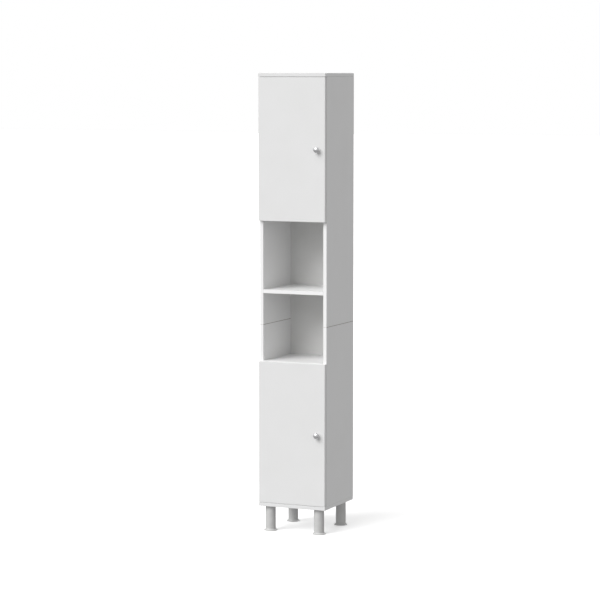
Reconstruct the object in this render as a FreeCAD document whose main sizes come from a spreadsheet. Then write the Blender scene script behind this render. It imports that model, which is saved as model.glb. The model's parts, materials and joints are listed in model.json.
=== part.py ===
import FreeCAD, Part
import math
import os
import Sketcher

# Tall bathroom cabinet: two cupboards behind slab doors with an open bay between them, on four legs.
# Frame: millimetres, +Z up, front towards -Y, +X to the right as seen from the front. The origin is
# on the floor, in the middle of the cabinet's whole outline, knobs included.

os.makedirs("parts", exist_ok=True)
doc = FreeCAD.newDocument("TallBathroomCabinet")

# ---------------------------------------------------------------- driving dimensions
SIZES = [
    # carcass
    ("cabinet_width", 300), ("cabinet_depth", 300), ("cabinet_height", 1900),
    ("board", 15), ("edge_ease", 0.7), ("leg_height", 105), ("seam_height", 863),
    ("bay_floor_top", 713), ("open_shelf_top", 1009), ("upper_floor_top", 1307),
    # back panels
    ("back_thickness", 3), ("back_setback", 5), ("groove_depth", 5), ("back_joint_gap", 2),
    ("strip_height", 30), ("strip_thickness", 1.2),
    # loose shelves and their pegs
    ("shelf_depth", 258), ("shelf_setback", 14), ("shelf_play", 1),
    ("lower_shelf_top", 425), ("upper_shelf_top", 1606),
    ("peg_width", 5), ("peg_bore", 9), ("peg_reach", 9), ("peg_pitch", 32), ("peg_inset", 36),
    # dowels and cam fittings
    ("dowel_width", 8), ("dowel_length", 30), ("dowel_bore", 9), ("dowel_inset", 45),
    ("cam_width", 15), ("cam_depth", 12), ("cam_setback", 26), ("cam_slot", 1.5),
    ("bolt_width", 6), ("bolt_thread", 10), ("bolt_grip", 4),
    # doors, knobs and bumpers
    ("door_gap", 1), ("door_inset", 1), ("door_reveal", 1), ("door_overlap_reveal", 2),
    ("knob_reach", 22), ("knob_width", 24), ("knob_neck", 9), ("knob_base", 13), ("knob_inset", 34),
    ("knob_base_height", 3.5), ("knob_neck_top", 7), ("knob_head_start", 12),
    ("knob_crown", 7), ("knob_grip", 12),
    ("bumper_width", 8), ("bumper_height", 0.8), ("bumper_inset", 8),
    # legs and levelling feet
    ("leg_width", 42), ("leg_inset_side", 40), ("leg_inset_front", 33), ("leg_inset_rear", 38),
    ("foot_width", 56), ("foot_rim", 3), ("foot_height", 9), ("stem_width", 10), ("stem_top", 48),
    ("stem_play", 0.05), ("stem_bore_top", 70), ("stud_width", 8), ("stud_length", 24),
    # hinges: mounting plate and arm
    ("hinge_inset", 90), ("plate_setback", 37), ("plate_screw_spacing", 32),
    ("plate_thickness", 3), ("plate_depth", 20), ("plate_height", 52),
    ("rail_width", 7), ("rail_height", 10), ("rail_length", 40),
    ("arm_width", 9.6), ("arm_wall", 1.2), ("arm_length", 62),
    ("arm_pivot_across", 34.5), ("arm_pivot_ahead", 7), ("arm_step_across", 23), ("arm_step_behind", 14),
    ("arm_foot_start", 18), ("arm_crown_start", 20), ("arm_channel_start", 16), ("arm_brow_behind", 6),
    # hinges: link, pins and cup
    ("cup_pivot_across", 16.4), ("cup_pivot_ahead", 3.6), ("bow_across", 25), ("bow_ahead", 6.8),
    ("link_width", 5.2), ("link_gap", 10.2), ("link_wall", 1.3), ("pin_width", 3), ("pin_play", 0.05),
    ("cup_width", 35), ("cup_centre", 23.5), ("cup_depth", 11.5), ("cup_wall", 1),
    ("ear_spacing", 48), ("ear_width", 11), ("ear_offset", 9.5), ("cup_pin_margin", 2.5),
    # wall brackets
    ("bracket_arm", 36), ("bracket_width", 20), ("bracket_thickness", 2), ("bracket_spacing", 160),
    ("bracket_hole", 5), ("bracket_hole_inset", 24),
]

# A screw's head and shank, each a width and a length.
SCREWS = {
    "bracket": ((8, 2), (4, 12)),
    "hinge_arm": ((6, 1.5), (3, 8)),
    "hinge_cup": ((6, 0.8), (3.5, 11)),
    "hinge_plate": ((7, 1.5), (4, 13)),
    "knob": ((9, 2), (4, 15)),
}
# The small offset that rounds a corner off, or carries a cutting tool past a face.
TRIM = 1

sheet = doc.addObject("Spreadsheet::Sheet", "Sizes")
for row, (alias, number) in enumerate(SIZES, start=1):
    sheet.set("A%d" % row, alias.replace("_", " "))
    sheet.set("B%d" % row, str(number))
    sheet.setAlias("B%d" % row, alias)
doc.recompute()


class Size:
    """A length kept both as a spreadsheet expression and as its present number."""

    def __init__(self, text, number):
        self.text = text
        self.number = number

    def __add__(self, other):
        other = size(other)
        return Size("(%s + %s)" % (self.text, other.text), self.number + other.number)

    def __sub__(self, other):
        other = size(other)
        return Size("(%s - %s)" % (self.text, other.text), self.number - other.number)

    def __mul__(self, other):
        other = size(other)
        return Size("(%s * %s)" % (self.text, other.text), self.number * other.number)

    def __truediv__(self, other):
        other = size(other)
        return Size("(%s / %s)" % (self.text, other.text), self.number / other.number)

    def __radd__(self, other):
        return size(other) + self

    def __rsub__(self, other):
        return size(other) - self

    def __rmul__(self, other):
        return size(other) * self

    def __neg__(self):
        return size(0) - self


def size(value):
    """Any number or Size as a Size."""
    return value if isinstance(value, Size) else Size("%.6g" % value, float(value))


class Dimensions:
    """The driving dimensions by name."""


S = Dimensions()
for alias, number in SIZES:
    setattr(S, alias, Size("Sizes.%s" % alias, float(number)))


def bind(target, prop, value):
    """Bind one property of an object to the sheet."""
    target.setExpression(prop, size(value).text)


def place(target, x=0, y=0, z=0):
    """Bind an object's position to the sheet."""
    for axis, value in (("x", x), ("y", y), ("z", z)):
        bind(target, "Placement.Base.%s" % axis, value)


# ---------------------------------------------------------------- planes of the cabinet
LEFT = -S.cabinet_width / 2
RIGHT = S.cabinet_width / 2
FRONT = (S.knob_reach - S.cabinet_depth) / 2
REAR = (S.knob_reach + S.cabinet_depth) / 2
CARCASS_FRONT = FRONT + S.board + S.door_gap
BACK_REAR = REAR - S.back_setback
BACK_FRONT = BACK_REAR - S.back_thickness
INNER_LEFT = LEFT + S.board
INNER_RIGHT = RIGHT - S.board
FLOOR_TOP = S.leg_height + S.board
CEILING = S.cabinet_height - S.board

# name, outer face's low X, inner face's X, middle of the board, and the sense that leads inward
SIDES = (
    ("left", LEFT, INNER_LEFT, LEFT + S.board / 2, 1),
    ("right", INNER_RIGHT, INNER_RIGHT, RIGHT - S.board / 2, -1),
)
FIXED_BOARDS = (
    ("open_bay_floor", S.bay_floor_top),
    ("open_shelf", S.open_shelf_top),
    ("upper_cupboard_floor", S.upper_floor_top),
)
DOORS = {
    "lower": (FLOOR_TOP + S.door_reveal, S.bay_floor_top - S.door_overlap_reveal),
    "upper": (S.upper_floor_top - S.board + S.door_overlap_reveal, CEILING - S.door_reveal),
}

# ---------------------------------------------------------------- small makers
TURN = {
    "+x": FreeCAD.Rotation(FreeCAD.Vector(0, 1, 0), 90),
    "-x": FreeCAD.Rotation(FreeCAD.Vector(0, 1, 0), -90),
    "+y": FreeCAD.Rotation(FreeCAD.Vector(1, 0, 0), -90),
    "-y": FreeCAD.Rotation(FreeCAD.Vector(1, 0, 0), 90),
    "+z": FreeCAD.Rotation(),
    "-z": FreeCAD.Rotation(FreeCAD.Vector(1, 0, 0), 180),
}
FEW_SIDES = 8
CAM_SIDES = 12
CUP_SIDES = 24
nodes = []
pockets = []


def node(part):
    """Keep a sub-part for writing out."""
    nodes.append(part)
    return part


def block(name, low, high):
    """A box between two corners."""
    box = doc.addObject("Part::Box", name)
    for prop, start, end in zip(("Length", "Width", "Height"), low, high):
        bind(box, prop, size(end) - start)
    place(box, *low)
    return box


def eased(name, low, high):
    """A board whose twelve edges are eased with a small chamfer."""
    board = doc.addObject("Part::Chamfer", name)
    board.Base = block(name + "_board", low, high)
    ease = S.edge_ease.number
    board.Edges = [(edge, ease, ease) for edge in range(1, 13)]
    return board


def rod(name, width, length, start, way):
    """A cylinder that starts at a point and runs one way along an axis."""
    cylinder = doc.addObject("Part::Cylinder", name)
    bind(cylinder, "Radius", size(width) / 2)
    bind(cylinder, "Height", length)
    cylinder.Placement = FreeCAD.Placement(FreeCAD.Vector(), TURN[way])
    place(cylinder, *start)
    return cylinder


def bar(name, width, length, start, way, sides=FEW_SIDES):
    """A small fitting's shaft with few faces, as wide across its corners as given."""
    prism = doc.addObject("Part::Prism", name)
    prism.Polygon = sides
    bind(prism, "Circumradius", size(width) / 2)
    bind(prism, "Height", length)
    prism.Placement = FreeCAD.Placement(FreeCAD.Vector(), TURN[way])
    place(prism, *start)
    return prism


def fused(label, first, second):
    result = doc.addObject("Part::Fuse", label)
    result.Base = first
    result.Tool = second
    return result


def cut(label, base, tools):
    """The base with each tool's space taken out of it in turn."""
    for index, tool in enumerate(tools):
        name = label if index == len(tools) - 1 else "%s_step_%d" % (label, index)
        result = doc.addObject("Part::Cut", name)
        result.Base = base
        result.Tool = tool
        base = result
    return base


def group(label, members):
    """Separate solids that share one node."""
    result = doc.addObject("Part::Compound", label)
    result.Links = members
    return result


def opposite(way):
    return {"+": "-", "-": "+"}[way[0]] + way[1]


def screw(name, kind, start, way, extra=0):
    """A screw whose head's underside sits at the start point, with its shank running along the way."""
    head, (shank_width, shank_length) = SCREWS[kind]
    return fused(name, bar(name + "_head", *head, start, opposite(way)),
                 bar(name + "_shank", shank_width, shank_length + extra, start, way))


# ---------------------------------------------------------------- sketches and features of a body
def origin_plane(body, role):
    for feature in body.Origin.OriginFeatures:
        if feature.Role == role:
            return feature
    raise ValueError("no origin plane " + role)


def new_sketch(body, name, role, height):
    sketch = body.newObject("Sketcher::SketchObject", name)
    sketch.AttachmentSupport = [(origin_plane(body, role), "")]
    sketch.MapMode = "FlatFace"
    bind(sketch, "AttachmentOffset.Base.z", height)
    return sketch


def pin_down(sketch, geometry, vertex, corner):
    """Constrain a point of the sketch to two coordinates bound to the sheet."""
    for kind, value in zip(("DistanceX", "DistanceY"), corner):
        number = sketch.addConstraint(Sketcher.Constraint(kind, -1, 1, geometry, vertex, value.number))
        sketch.setExpression("Constraints[%d]" % number, value.text)


def outline(body, name, role, points, height=0):
    """A closed outline of straight lines on one of the body's origin planes."""
    sketch = new_sketch(body, name, role, height)
    corners = [(size(a), size(b)) for a, b in points]
    vectors = [FreeCAD.Vector(a.number, b.number, 0) for a, b in corners]
    count = len(vectors)
    for index in range(count):
        sketch.addGeometry(Part.LineSegment(vectors[index], vectors[(index + 1) % count]), False)
    for index in range(count):
        sketch.addConstraint(Sketcher.Constraint("Coincident", index, 2, (index + 1) % count, 1))
    for index, corner in enumerate(corners):
        pin_down(sketch, index, 1, corner)
    return sketch


def extruded(kind, body, sketch, length, midplane):
    feature = body.newObject("PartDesign::" + kind, sketch.Name + kind)
    feature.Profile = sketch
    bind(feature, "Length", length)
    feature.Midplane = midplane
    return feature


def pad(body, sketch, length, midplane=False):
    return extruded("Pad", body, sketch, length, midplane)


def pocket(body, sketch, length):
    """Take the outline's space out to both sides of its plane."""
    before = body.Tip
    feature = extruded("Pocket", body, sketch, length, True)
    pockets.append((before, feature))
    return feature


def turned(label, points):
    """A body made by a full turn of an outline, drawn as radius and height, about its own Z axis."""
    body = doc.addObject("PartDesign::Body", label)
    sketch = outline(body, label + "_profile", "XZ_Plane", points)
    feature = body.newObject("PartDesign::Revolution", label + "_turn")
    feature.Profile = sketch
    feature.ReferenceAxis = (sketch, ["V_Axis"])
    feature.Angle = 360
    return body


# ---------------------------------------------------------------- dowels and cam fittings
DOWEL_Y = CARCASS_FRONT + S.dowel_inset
CAM_Y = BACK_FRONT - S.dowel_inset
BOLT_LENGTH = S.bolt_thread + S.cam_setback - S.cam_width / 2 + S.bolt_grip
dowel_bars = []
bolt_bars = []
cam_discs = []
cam_slots = []


def cam(name, centre, way):
    """A cam lock: a disc let into a board's face, with the slot that turns it."""
    x, y, z = centre
    reach = S.cam_width / 2 - TRIM
    half = S.cam_slot / 2
    cam_discs.append(bar(name, S.cam_width, S.cam_depth, centre, way, CAM_SIDES))
    if way == "+z":
        slot = block(name + "_slot", (x - reach, y - half, z), (x + reach, y + half, z + S.cam_slot))
    else:
        near = x if way == "+x" else x - S.cam_slot
        slot = block(name + "_slot", (near, y - reach, z - half), (near + S.cam_slot, y + reach, z + half))
    cam_slots.append(slot)


def corner_fittings(name, dowel_start, bolt_start, way):
    """The dowel and the cam's bolt that join the end of one board to the face of another."""
    dowel_bars.append(bar(name + "_dowel", S.dowel_width, S.dowel_length, dowel_start, way))
    bolt_bars.append(bar(name + "_bolt", S.bolt_width, BOLT_LENGTH, bolt_start, way))


for board_name, top in FIXED_BOARDS:
    middle = top - S.board / 2
    for side_name, _, face, _, inward in SIDES:
        name = "%s_%s" % (board_name, side_name)
        corner_fittings(name, (face - inward * S.dowel_bore, DOWEL_Y, middle),
                        (face - inward * S.bolt_thread, CAM_Y, middle), "+x" if inward > 0 else "-x")
        cam(name + "_cam", (face + inward * S.cam_setback, CAM_Y, top - S.board), "+z")

for end_name, level, upward in (("top", CEILING, 1), ("bottom", FLOOR_TOP, -1)):
    for side_name, _, face, middle, inward in SIDES:
        name = "%s_%s" % (end_name, side_name)
        corner_fittings(name, (middle, DOWEL_Y, level + upward * S.dowel_bore),
                        (middle, CAM_Y, level + upward * S.bolt_thread), "-z" if upward > 0 else "+z")
        cam(name + "_cam", (face, CAM_Y, level - upward * S.cam_setback), "-x" if inward > 0 else "+x")

for side_name, _, _, middle, _ in SIDES:
    for place_name, y in (("front", DOWEL_Y), ("rear", CAM_Y)):
        dowel_bars.append(bar("seam_%s_%s_dowel" % (side_name, place_name), S.dowel_width, S.dowel_length,
                              (middle, y, S.seam_height - S.dowel_length / 2), "+z"))

dowels = node(group("dowels", dowel_bars))
cam_bolts = node(group("cam_bolts", bolt_bars))
cam_space = group("cam_space", cam_discs)
node(cut("cam_locks", cam_space, [group("cam_slots", cam_slots), cam_bolts]))

# ---------------------------------------------------------------- shelf pegs and their rows of holes
SHELF_FRONT = CARCASS_FRONT + S.shelf_setback
SHELF_REAR = SHELF_FRONT + S.shelf_depth
LOOSE_SHELVES = (("lower", S.lower_shelf_top), ("upper", S.upper_shelf_top))
peg_bars = []
spare_holes = []
for shelf_name, top in LOOSE_SHELVES:
    level = top - S.board - S.peg_width / 2
    for side_name, _, face, _, inward in SIDES:
        way = "+x" if inward > 0 else "-x"
        start = face - inward * S.peg_bore
        for place_name, y in (("front", SHELF_FRONT + S.peg_inset), ("rear", SHELF_REAR - S.peg_inset)):
            name = "peg_%s_%s_%s" % (shelf_name, side_name, place_name)
            peg_bars.append(bar(name, S.peg_width, S.peg_bore + S.peg_reach, (start, y, level), way))
            for step_name, step in (("above", 1), ("below", -1)):
                spare_holes.append(bar("%s_hole_%s" % (name, step_name), S.peg_width, S.peg_bore + TRIM,
                                       (start, y, level + step * S.peg_pitch), way))
shelf_pegs = node(group("shelf_pegs", peg_bars))
spare_peg_holes = group("spare_peg_holes", spare_holes)

for shelf_name, top in LOOSE_SHELVES:
    node(block(shelf_name + "_inner_shelf", (INNER_LEFT + S.shelf_play, SHELF_FRONT, top - S.board),
               (INNER_RIGHT - S.shelf_play, SHELF_REAR, top)))

# ---------------------------------------------------------------- wall brackets
bracket_bodies = []
bracket_screw_list = []
wall_holes = []
for side_name, way in (("left", -1), ("right", 1)):
    x = way * S.bracket_spacing / 2
    arm, sheet_thickness = S.bracket_arm, S.bracket_thickness
    body = doc.addObject("PartDesign::Body", "bracket_" + side_name)
    angle = outline(body, "bracket_angle_" + side_name, "YZ_Plane", [
        (0, 0), (-arm, 0), (-arm, -sheet_thickness), (-sheet_thickness, -sheet_thickness),
        (-sheet_thickness, -arm), (0, -arm)])
    pad(body, angle, S.bracket_width, midplane=True)
    place(body, x, BACK_FRONT, CEILING)
    bracket_bodies.append(body)
    bracket_screw_list.append(screw("bracket_screw_" + side_name, "bracket",
                                    (x, BACK_FRONT - S.bracket_hole_inset, CEILING - sheet_thickness), "+z"))
    wall_holes.append(rod("wall_hole_" + side_name, S.bracket_hole, arm,
                          (x, BACK_FRONT - arm / 2, CEILING - S.bracket_hole_inset), "+y"))
bracket_screws = node(group("bracket_screws", bracket_screw_list))
wall_hole_space = group("wall_hole_space", wall_holes)
node(cut("wall_brackets", group("bracket_bodies", bracket_bodies), [bracket_screws, wall_hole_space]))

# ---------------------------------------------------------------- back panels
BACK_LEFT = INNER_LEFT - S.groove_depth
BACK_RIGHT = INNER_RIGHT + S.groove_depth
BACK_JOINT = S.bay_floor_top - S.board / 2
BACK_BOTTOM = FLOOR_TOP - S.groove_depth
BACK_TOP = CEILING + S.groove_depth
HALF_GAP = S.back_joint_gap / 2
HALF_STRIP = S.strip_height / 2
node(block("back_panel_lower", (BACK_LEFT, BACK_FRONT, BACK_BOTTOM),
           (BACK_RIGHT, BACK_REAR, BACK_JOINT - HALF_GAP)))
back_upper = block("back_upper_board", (BACK_LEFT, BACK_FRONT, BACK_JOINT + HALF_GAP),
                   (BACK_RIGHT, BACK_REAR, BACK_TOP))
node(cut("back_panel_upper", back_upper, [wall_hole_space]))
back_groove = block("back_groove", (BACK_LEFT, BACK_FRONT, BACK_BOTTOM), (BACK_RIGHT, BACK_REAR, BACK_TOP))
strip_flange = block("strip_flange", (INNER_LEFT, BACK_REAR, BACK_JOINT - HALF_STRIP),
                     (INNER_RIGHT, BACK_REAR + S.strip_thickness, BACK_JOINT + HALF_STRIP))
strip_rib = block("strip_rib", (INNER_LEFT, BACK_FRONT, BACK_JOINT - HALF_GAP),
                  (INNER_RIGHT, BACK_REAR, BACK_JOINT + HALF_GAP))
node(fused("back_joint_strip", strip_flange, strip_rib))

# ---------------------------------------------------------------- legs and levelling feet
LEG_X = {"left": LEFT + S.leg_inset_side, "right": RIGHT - S.leg_inset_side}
LEG_Y = {"front": FRONT + S.leg_inset_front, "rear": REAR - S.leg_inset_rear}
stud_bars = []
for end_name, y in LEG_Y.items():
    for side_name, x in LEG_X.items():
        name = "%s_%s" % (end_name, side_name)
        leg_radius = S.leg_width / 2
        rim = S.foot_width / 2
        column = turned("leg_column_" + name, [
            (0, S.foot_height), (leg_radius, S.foot_height), (leg_radius, S.leg_height), (0, S.leg_height)])
        place(column, x, y)
        bore_width = S.stem_width + 2 * S.stem_play
        bore = bar("stem_bore_" + name, bore_width, S.stem_bore_top, (x, y, 0), "+z")
        stud = bar("stud_" + name, S.stud_width, S.stud_length,
                   (x, y, S.leg_height - S.stud_length / 2), "+z")
        stud_bars.append(stud)
        node(cut("leg_" + name, column, [bore, stud]))
        pad_body = turned("foot_pad_" + name, [
            (0, 0), (rim, 0), (rim, S.foot_rim), (leg_radius, S.foot_height), (0, S.foot_height)])
        place(pad_body, x, y)
        stem = bar("stem_" + name, S.stem_width, S.stem_top, (x, y, 0), "+z")
        node(fused("foot_" + name, pad_body, stem))
leg_studs = node(group("leg_studs", stud_bars))

# ---------------------------------------------------------------- hinges
# A hinge is drawn about the front outer corner of the left side panel: X runs inward and -Y runs ahead
# of the panel's front edge, into the room. Its height is the middle of the cup. The arm's nose reaches
# into the cup, and a bowed link joins the nose to the pivot near the door's edge, so the door swings
# clear of the side panel as it opens.
ARM_PIVOT = (S.arm_pivot_across, -S.arm_pivot_ahead)
CUP_PIVOT = (S.cup_pivot_across, -S.cup_pivot_ahead)
BOW = (S.bow_across, -S.bow_ahead)
DOOR_BACK = CARCASS_FRONT - S.door_gap
LINK_SPAN = S.link_gap + 2 * S.link_wall
HALF_LINK = S.link_width / 2
PLATE_TOP = S.board + S.plate_thickness
RAIL_TOP = S.board + S.rail_height
ARM_TOP = RAIL_TOP + S.arm_wall
CUP_PIN_LENGTH = S.cup_width - 2 * S.cup_pin_margin


def hinge_body(label, level):
    body = doc.addObject("PartDesign::Body", label)
    place(body, LEFT, CARCASS_FRONT, level)
    return body


def centred_rectangle(middle, length, width):
    near, far = middle - length / 2, middle + length / 2
    return [(near, -width / 2), (far, -width / 2), (far, width / 2), (near, width / 2)]


def hinge_plate(name, level):
    """The mounting plate on the side panel, with the rail that the arm straddles."""
    body = hinge_body("plate_" + name, level)
    foot = outline(body, "plate_foot_" + name, "YZ_Plane",
                   centred_rectangle(S.plate_setback, S.plate_depth, S.plate_height), S.board)
    pad(body, foot, S.plate_thickness)
    rail = outline(body, "plate_rail_" + name, "YZ_Plane",
                   centred_rectangle(S.plate_setback, S.rail_length, S.rail_width), S.board)
    pad(body, rail, S.rail_height)
    return body


def hinge_arm(name, level):
    """A channel of folded steel over the rail, drawn out into the nose that holds the first pivot."""
    body = hinge_body("arm_" + name, level)
    across, ahead = ARM_PIVOT
    tail = S.arm_length
    profile = outline(body, "arm_profile_" + name, "XY_Plane", [
        (across - HALF_LINK, ahead), (S.arm_step_across, S.arm_step_behind), (PLATE_TOP, S.arm_foot_start),
        (PLATE_TOP, tail), (ARM_TOP, tail), (ARM_TOP, S.arm_crown_start),
        (across + TRIM, S.arm_brow_behind), (across + HALF_LINK, ahead), (across + TRIM, ahead - HALF_LINK),
        (across - TRIM, ahead - HALF_LINK)])
    pad(body, profile, S.arm_width, midplane=True)
    channel = outline(body, "arm_channel_" + name, "XY_Plane", [
        (PLATE_TOP - TRIM, S.arm_channel_start), (PLATE_TOP - TRIM, tail + TRIM), (RAIL_TOP, tail + TRIM),
        (RAIL_TOP, S.arm_channel_start)])
    pocket(body, channel, S.arm_width - 2 * S.arm_wall)
    return body


def hinge_link(name, level):
    """The bowed link: two cheeks, with rounded ends about the pivots, and the web that joins them."""
    body = hinge_body("link_" + name, level)
    arm_x, arm_y = ARM_PIVOT
    cup_x, cup_y = CUP_PIVOT
    bow_x, bow_y = BOW
    profile = outline(body, "link_profile_" + name, "XY_Plane", [
        (arm_x + TRIM, arm_y + HALF_LINK), (bow_x, bow_y + HALF_LINK), (cup_x - TRIM, cup_y + HALF_LINK),
        (cup_x - HALF_LINK, cup_y + TRIM), (cup_x - HALF_LINK, cup_y - TRIM),
        (cup_x - TRIM, cup_y - HALF_LINK), (bow_x, bow_y - HALF_LINK), (arm_x + TRIM, arm_y - HALF_LINK),
        (arm_x + HALF_LINK, arm_y - TRIM), (arm_x + HALF_LINK, arm_y + TRIM)])
    pad(body, profile, LINK_SPAN, midplane=True)
    web_y = bow_y - HALF_LINK + S.link_wall
    beyond = S.link_width
    half_web = HALF_LINK
    gap = outline(body, "link_gap_" + name, "XY_Plane", [
        (arm_x + beyond, 0), (cup_x - beyond, 0), (cup_x - beyond, cup_y - beyond),
        (cup_x + TRIM, bow_y - TRIM), (bow_x - half_web, web_y), (bow_x + half_web, web_y),
        (bow_x + half_web + TRIM, bow_y - beyond),
        (arm_x + beyond, arm_y - beyond)])
    pocket(body, gap, S.link_gap)
    return body


def hinge_pin(name, pivot, level, width, length):
    start = (LEFT + pivot[0], CARCASS_FRONT + pivot[1], level - length / 2)
    return bar(name, width, length, start, "+z")


def hinge_cup(name, level):
    """The cup's outside: a round bowl with two screw ears, let flush into the back of the door."""
    body = hinge_body("cup_" + name, level)
    ears = [(S.cup_centre + S.ear_offset + x, y) for x, y in
            centred_rectangle(size(0), S.ear_width, S.ear_spacing + S.ear_width)]
    pad(body, outline(body, "cup_ears_" + name, "XZ_Plane", ears, S.door_gap), S.cup_wall)
    bowl = bar("cup_bowl_" + name, S.cup_width, S.cup_depth, (LEFT + S.cup_centre, DOOR_BACK, level), "-y",
               CUP_SIDES)
    return fused("cup_outside_" + name, body, bowl)


EYE_WIDTH = (S.pin_width + 2 * S.pin_play) / math.cos(math.pi / FEW_SIDES)
plates, arms, arm_pins, plate_screw_list, arm_screw_list = [], [], [], [], []
cup_spaces = {}
door_screws = {}
for door_name, (low, high) in DOORS.items():
    cups, cavities, cup_pins, links, eyes, cup_screw_list = [], [], [], [], [], []
    for end_name, level in (("bottom", low + S.hinge_inset), ("top", high - S.hinge_inset)):
        name = "%s_%s" % (door_name, end_name)
        plates.append(hinge_plate(name, level))
        arms.append(hinge_arm(name, level))
        links.append(hinge_link(name, level))
        cups.append(hinge_cup(name, level))
        arm_pins.append(hinge_pin("arm_pin_" + name, ARM_PIVOT, level, S.pin_width, LINK_SPAN))
        cup_pins.append(hinge_pin("cup_pin_" + name, CUP_PIVOT, level, S.pin_width, CUP_PIN_LENGTH))
        for pivot_name, pivot in (("arm", ARM_PIVOT), ("cup", CUP_PIVOT)):
            eyes.append(hinge_pin("%s_eye_%s" % (pivot_name, name), pivot, level, EYE_WIDTH, CUP_PIN_LENGTH))
        cavities.append(bar("cup_cavity_" + name, S.cup_width - 2 * S.cup_wall, S.cup_depth - S.cup_wall,
                            (LEFT + S.cup_centre, DOOR_BACK, level), "-y", CUP_SIDES))
        plate_y = CARCASS_FRONT + S.plate_setback
        arm_screw_list.append(screw("arm_screw_" + name, "hinge_arm",
                                    (LEFT + ARM_TOP, plate_y, level), "-x"))
        for way_name, way in (("below", -1), ("above", 1)):
            plate_z = level + way * S.plate_screw_spacing / 2
            plate_screw_list.append(screw("plate_screw_%s_%s" % (name, way_name), "hinge_plate",
                                          (LEFT + PLATE_TOP, plate_y, plate_z), "-x"))
            ear = (LEFT + S.cup_centre + S.ear_offset, DOOR_BACK, level + way * S.ear_spacing / 2)
            cup_screw_list.append(screw("cup_screw_%s_%s" % (name, way_name), "hinge_cup", ear, "-y"))
    cup_space = group("cup_space_" + door_name, cups)
    cup_screws = node(group("hinge_cup_screws_" + door_name, cup_screw_list))
    pins = node(group("hinge_cup_pins_" + door_name, cup_pins))
    node(cut("hinge_cups_" + door_name, cup_space,
             [group("cup_cavities_" + door_name, cavities), cup_screws, pins]))
    node(cut("hinge_links_" + door_name, group("link_bodies_" + door_name, links),
             [group("link_eyes_" + door_name, eyes)]))
    cup_spaces[door_name] = cup_space
    door_screws[door_name] = cup_screws

arm_pin_group = node(group("hinge_arm_pins", arm_pins))
plate_screws = node(group("hinge_plate_screws", plate_screw_list))
arm_screws = node(group("hinge_arm_screws", arm_screw_list))
node(cut("hinge_plates", group("plate_bodies", plates), [plate_screws, arm_screws]))
node(cut("hinge_arms", group("arm_bodies", arms), [arm_screws, arm_pin_group]))

# ---------------------------------------------------------------- boards of the carcass
top_board = eased("top_eased", (LEFT, FRONT, CEILING), (RIGHT, REAR, S.cabinet_height))
node(cut("top_panel", top_board, [dowels, cam_bolts, back_groove, bracket_screws]))
bottom_board = eased("bottom_eased", (LEFT, FRONT, S.leg_height), (RIGHT, REAR, FLOOR_TOP))
node(cut("bottom_panel", bottom_board, [dowels, cam_bolts, back_groove, leg_studs]))

for side_name, low_x, _, _, inward in SIDES:
    for part_name, low_z, high_z in (("lower", FLOOR_TOP, S.seam_height), ("upper", S.seam_height, CEILING)):
        label = "side_%s_%s" % (side_name, part_name)
        panel = block(label + "_board", (low_x, CARCASS_FRONT, low_z), (low_x + S.board, REAR, high_z))
        drilling = [dowels, cam_bolts, cam_space, shelf_pegs, spare_peg_holes, back_groove]
        if inward > 0:
            drilling.append(plate_screws)
        node(cut(label, panel, drilling))

for board_name, top in FIXED_BOARDS:
    panel = block(board_name + "_board", (INNER_LEFT, CARCASS_FRONT, top - S.board),
                  (INNER_RIGHT, BACK_FRONT, top))
    node(cut(board_name, panel, [dowels, cam_bolts, cam_space]))

# ---------------------------------------------------------------- doors, knobs and bumpers
KNOB_X = RIGHT - S.knob_inset
QUARTER = 90
CROWN_STEPS = 5
for door_name, (low, high) in DOORS.items():
    middle = (low + high) / 2
    knob_screw = node(screw("knob_screw_" + door_name, "knob", (KNOB_X, FRONT + S.board, middle), "-y",
                            S.knob_grip))
    head, neck, reach = S.knob_width / 2, S.knob_neck / 2, S.knob_reach
    turns = [math.radians(QUARTER * step / CROWN_STEPS) for step in range(CROWN_STEPS)]
    crown = [(head * math.cos(turn), reach - S.knob_crown + S.knob_crown * math.sin(turn)) for turn in turns]
    knob_body = turned("knob_body_" + door_name, [
        (0, 0), (S.knob_base / 2, 0), (neck, S.knob_base_height), (neck, S.knob_neck_top),
        (head, S.knob_head_start), *crown, (0, reach)])
    knob_body.Placement = FreeCAD.Placement(FreeCAD.Vector(), TURN["-y"])
    place(knob_body, KNOB_X, FRONT, middle)
    node(cut("knob_" + door_name, knob_body, [knob_screw]))
    door_board = eased("door_eased_" + door_name, (LEFT + S.door_inset, FRONT, low),
                       (RIGHT - S.door_inset, FRONT + S.board, high))
    node(cut("door_" + door_name, door_board, [cup_spaces[door_name], door_screws[door_name], knob_screw]))
    bumpers = [bar("bumper_%s_%s" % (door_name, end_name), S.bumper_width, S.bumper_height,
                   (RIGHT - S.bumper_inset, FRONT + S.board, level), "+y")
               for end_name, level in (("bottom", low + S.bumper_inset), ("top", high - S.bumper_inset))]
    node(group("bumpers_" + door_name, bumpers))

# ---------------------------------------------------------------- check and write
doc.recompute()
for item in doc.Objects:
    if "Invalid" in item.State or "Error" in item.State:
        raise RuntimeError("failed: %s %s" % (item.Name, item.State))
for before, feature in pockets:
    if not feature.Shape.Volume < before.Shape.Volume:
        raise RuntimeError("%s takes nothing away" % feature.Name)
for part in nodes:
    shape = part.Shape
    if shape.isNull() or not shape.isValid() or not shape.Solids:
        raise RuntimeError("bad shape: " + part.Label)
    shape.exportStep("parts/%s.step" % part.Label)
print("%d sub-parts" % len(nodes))
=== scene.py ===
import bmesh
import bpy
import json
import math
from mathutils import Matrix, Vector


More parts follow.
